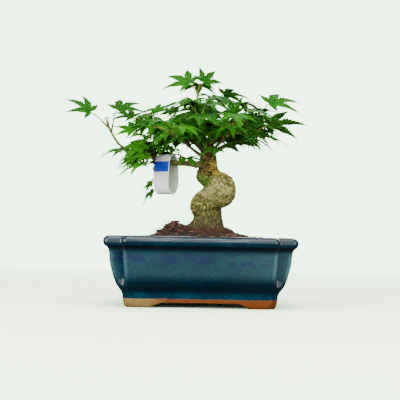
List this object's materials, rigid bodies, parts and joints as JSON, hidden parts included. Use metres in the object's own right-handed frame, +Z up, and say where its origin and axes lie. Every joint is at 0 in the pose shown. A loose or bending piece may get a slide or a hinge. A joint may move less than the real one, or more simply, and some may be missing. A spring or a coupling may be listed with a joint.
{
  "type": "maple bonsai in pot",
  "caption": "Small Japanese maple bonsai with a coiled, swollen trunk and arched, pointed leaves in a glazed rectangular pot with stepped-in corners, feet and drain holes.",
  "frame": {"origin": "below the middle of the whole plant's bounding box, on the surface that the pot stands on", "axes": "+X to the right seen from the front, along the pot's long side; +Y to the back; +Z up"},
  "size_m": [0.2236, 0.1778, 0.2233],
  "materials": {
    "glaze": "gloss",
    "soil": "matte",
    "bark": "matte",
    "screen": "matte",
    "wire": "satin",
    "tag": "satin",
    "leaf": "satin"
  },
  "bodies": {
    "root": {"pot": "glaze", "soil": "soil", "trunk": "bark", "drain_screen_left": "screen", "drain_screen_right": "screen", "screen_clip_left": "wire", "screen_clip_right": "wire", "loop_tag": "tag", "leafy_shoot_01": "leaf", "leafy_shoot_02": "leaf", "leafy_shoot_03": "leaf", "leafy_shoot_04": "leaf", "leafy_shoot_05": "leaf", "leafy_shoot_06": "leaf", "leafy_shoot_07": "leaf", "leafy_shoot_08": "leaf", "leafy_shoot_09": "leaf", "leafy_shoot_10": "leaf", "leafy_shoot_11": "leaf", "leafy_shoot_12": "leaf", "leafy_shoot_13": "leaf", "leafy_shoot_14": "leaf", "leafy_shoot_15": "leaf", "leafy_shoot_16": "leaf", "leafy_shoot_17": "leaf", "leafy_shoot_18": "leaf", "leafy_shoot_19": "leaf", "leafy_shoot_20": "leaf", "leafy_shoot_21": "leaf", "leafy_shoot_22": "leaf", "leafy_shoot_23": "leaf", "leafy_shoot_24": "leaf", "leafy_shoot_25": "leaf", "leafy_shoot_26": "leaf", "leafy_shoot_27": "leaf", "leafy_shoot_28": "leaf", "leafy_shoot_29": "leaf", "leafy_shoot_30": "leaf"}
  },
  "joints": []
}
